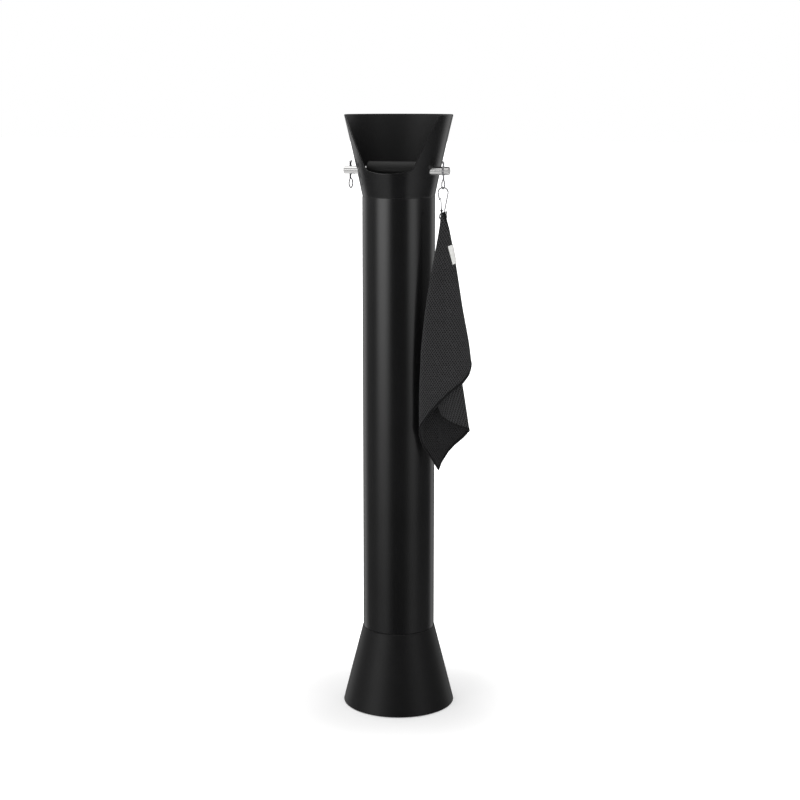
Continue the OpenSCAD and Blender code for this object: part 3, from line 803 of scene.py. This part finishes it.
def folded_tape(along, around):
    """A leaf on the front, a half circle round the edge and a short leaf behind."""
    height = TAG_TOP + along * (TAG_BOTTOM - TAG_TOP)
    edge = smooth_edge(RIGHT, height) + OUT_FROM_EDGE
    front_width = FRONT_LEAF - NARROWING * along
    lean = LEAN * (around < FRONT_SHARE) * (1 - around / FRONT_SHARE)
    fold = np.clip((around - FRONT_SHARE) / FOLD_SHARE, 0, 1) * math.pi
    width = edge + BULGE * np.sin(fold)
    width = width - front_width * np.clip(1 - around / FRONT_SHARE, 0, 1)
    width = width - BACK_LEAF * np.clip((around - BACK_FROM) / BACK_SHARE, 0, 1)
    middle = front_depth(height) - 1.0
    depth = middle + HALF_FOLD * np.cos(fold)
    return width, height - lean, depth


def front_depth(height):
    """Depth of the cloth's front layer near its right edge at a height."""
    share_at = (APEX - height) / (APEX + FRONT_HEM)
    return towel_surface(np.full(np.shape(height), FRONT_PLACE), share_at)[2] + CLEARANCE


tag_along, tag_around = np.meshgrid(
    np.linspace(0, 1, TAG_ROWS), np.linspace(0, 1, TAG_COLUMNS), indexing="ij"
)
tag_points = to_frame(*folded_tape(tag_along, tag_around))
tag = make_piece("sewn_tag", tag_points, grid_faces(TAG_ROWS, TAG_COLUMNS))
add_uv(tag, "tape", np.stack([tag_around * TAPE_ROUND, tag_along * TAPE_LONG], axis=-1))
tape = tag.modifiers.new("thickness", "SOLIDIFY")
tape.thickness = TAG_THICK
tape.offset = 0.0
bake_modifiers(tag)
print("tag triangles:", sum(len(p.vertices) - 2 for p in tag.data.polygons))


def white_tape():
    """Satin tape: fine ribs both ways, a line of stitches near the fold and a little dust."""
    finish = Finish("white_tape", {"Sheen Weight": 0.15, "Specular IOR Level": 0.3})
    tape_uv = finish.node("ShaderNodeUVMap", {"uv_map": "tape"})
    across, along, _ = finish.split(tape_uv)
    ribs = along.wave(0.0005) * 0.6 + across.wave(0.0004) * 0.4
    seam = 1 - (across - 0.0096).maths("ABSOLUTE").rise(0.0002, 0.0005)
    stitch = seam * along.wave(0.0022).rise(0.35, 0.6)
    dust = finish.noise(tape_uv, 400.0, 3.0)
    tone = 1 - stitch * 0.35 - dust * 0.25
    finish.feed("Base Color", finish.shades(tone, (0.3, 0.3, 0.29), (0.74, 0.74, 0.72)))
    finish.feed("Roughness", 0.6 + dust * 0.2)
    finish.feed("Normal", finish.bump(ribs - stitch * 1.5, 0.00012))
    return finish


tag.data.materials.append(white_tape().material)
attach(tag, "hung_towel")
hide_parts("towel_tag")

# %% [markdown]
# ## The studio
# Black satin shows only what it reflects, so the surroundings are the lighting: one world whose
# brightness depends on the direction. A tall soft light on the left draws the broad bright band
# down the tube, and a weaker one on the right draws the second. It is nearly dark round the
# camera, which keeps the middle of the tube black. A light on each side behind the object
# catches its outer edges, and one overhead its upper faces. Reflections don't see the floor, so
# a low light takes its place under the overhanging funnel. What the camera sees directly is
# plain white.

# %% The surroundings
CAMERA_TURN = 16.0
SIDE_LIGHT, FRONT_LIGHT, REAR_LIGHT, LOW_LIGHT = 0.5, 0.09, 0.6, 0.9
LEFT_BOX, RIGHT_BOX, TOP_BOX = 5.2, 2.6, 1.3
# Each box is its middle, half its width and its softness, in degrees round the object.
LEFT_AT, RIGHT_AT, REAR_AT = (-51, 18, 11), (46, 13, 9), (138, 14, 10)
# A fade runs between two angles in degrees: round the object, or up from level.
FRONT_FADE, RIGHT_FADE, LOW_SPREAD = (18, 44), (40, 80), (22, 30)
GROUND_FADE, HIGH_FADE, TOP_FADE = (-18, 6), (12, 35), (38, 60)
BOX_BOTTOM, BOX_TOP, LOW_TOP = (-16, 3), (1, 10), (-28, -23)
GROUND_SHARE, RIGHT_LOSS, HIGH_LOSS, BOX_LOSS = 0.3, 0.55, 0.6, 0.88

world = bpy.data.worlds.new("studio")
bpy.context.scene.world = world
world.use_nodes = True
world.node_tree.nodes.clear()
sky = Tree(world.node_tree)
turn = math.radians(CAMERA_TURN)
towards_x, towards_y, above = sky.split(sky.node("ShaderNodeTexCoord", output="Generated"))
front = towards_x * math.sin(turn) - towards_y * math.cos(turn)
aside = towards_x * math.cos(turn) + towards_y * math.sin(turn)
azimuth = aside.maths("ARCTAN2", front) * (180 / math.pi)
height = above.maths("ARCSINE") * (180 / math.pi)


def box(direction, centre, half_width, softness):
    """1 inside a range of directions round the object, fading to 0 over the softness at each end."""
    away = (direction - centre).maths("ABSOLUTE")
    return 1 - away.rise(half_width - softness, half_width + softness)


spread = azimuth.maths("ABSOLUTE")
raised = GROUND_SHARE + height.rise(*GROUND_FADE) * (1 - GROUND_SHARE)
sides = (FRONT_LIGHT + spread.rise(*FRONT_FADE) * (SIDE_LIGHT - FRONT_LIGHT)) * raised
sides = sides * (1 - azimuth.rise(*RIGHT_FADE) * RIGHT_LOSS)
sides = sides * (1 - height.rise(*HIGH_FADE) * HIGH_LOSS)
sides = sides + box(spread, *REAR_AT) * REAR_LIGHT
boxes = box(azimuth, *LEFT_AT) * LEFT_BOX + box(azimuth, *RIGHT_AT) * RIGHT_BOX
boxes = boxes * height.rise(*BOX_BOTTOM) * (1 - height.rise(*BOX_TOP) * BOX_LOSS)
low = (1 - height.rise(*LOW_TOP)) * spread.rise(*LOW_SPREAD) * LOW_LIGHT
glow = sides + boxes + low + height.rise(*TOP_FADE) * TOP_BOX
felt = sky.node("ShaderNodeBackground", inputs={"Color": (1, 1, 1, 1), "Strength": glow})
seen = sky.node("ShaderNodeBackground", inputs={"Color": (1, 1, 1, 1), "Strength": 1.0})
direct = sky.node("ShaderNodeLightPath", output="Is Camera Ray")
mixed = sky.node("ShaderNodeMixShader", inputs={0: direct, 1: felt, 2: seen})
sky.node("ShaderNodeOutputWorld", inputs={"Surface": mixed}, output=None)
print("nodes in the world:", len(world.node_tree.nodes))

# %% [markdown]
# The floor is a pale matt sheet that glows a little by the base and fully from 0.4 m out, so that
# it runs into the white background with no line and still darkens softly under the base. The
# weaker glow by the base paints part of that shade. The rest is the real shadow of the base.

# %% Floor
FLOOR_HALF = 30.0
floor_corners = np.array([(-1, -1, 0), (1, -1, 0), (1, 1, 0), (-1, 1, 0)]) * FLOOR_HALF
floor = make_piece("floor", floor_corners, np.array([[0, 1, 2, 3]]), smooth=False)
floor.visible_glossy = False
pale = Finish("pale_floor", {
    "Base Color": (0.8, 0.8, 0.8, 1.0), "Roughness": 0.95, "Specular IOR Level": 0.0,
    "Emission Strength": 1.0,
})
from_middle = pale.node(
    "ShaderNodeVectorMath", {"operation": "LENGTH"}, {0: pale.place()}, output="Value"
)
# The glow by the base is kept low, so the floor round the base is painted darker as shade.
BASE_PAINTED_SHADE_GLOW = 0.29
GLOW_FROM, GLOW_TO = 0.1, 0.4
outer = from_middle.rise(GLOW_FROM, GLOW_TO)
pale.feed("Emission Color", pale.shades(outer, (BASE_PAINTED_SHADE_GLOW,) * 3, (1.0, 1.0, 1.0)))
floor.data.materials.append(pale.material)

# %% [markdown]
# ## The camera
# A long lens from a few paces back keeps the tube's sides nearly parallel. The camera stands
# a little above the funnel and 16 degrees to its right, and tilts down a little.

# %% Camera
CAMERA_BACK, CAMERA_HEIGHT, CAMERA_TILT = 2.4359, 0.92255, 9.327
camera = bpy.data.cameras.new("camera")
camera.sensor_width = 36.0
camera.lens = 74.07
camera.shift_x = 0.0016
camera.shift_y = -0.0432
viewer = bpy.data.objects.new("camera", camera)
viewer.location = (CAMERA_BACK * math.sin(turn), -CAMERA_BACK * math.cos(turn), CAMERA_HEIGHT)
viewer.rotation_euler = (math.radians(90 - CAMERA_TILT), 0, turn)
bpy.context.scene.collection.objects.link(viewer)
bpy.context.scene.camera = viewer
bpy.context.scene.view_settings.view_transform = "Standard"
print("camera at", [round(v, 4) for v in viewer.location])
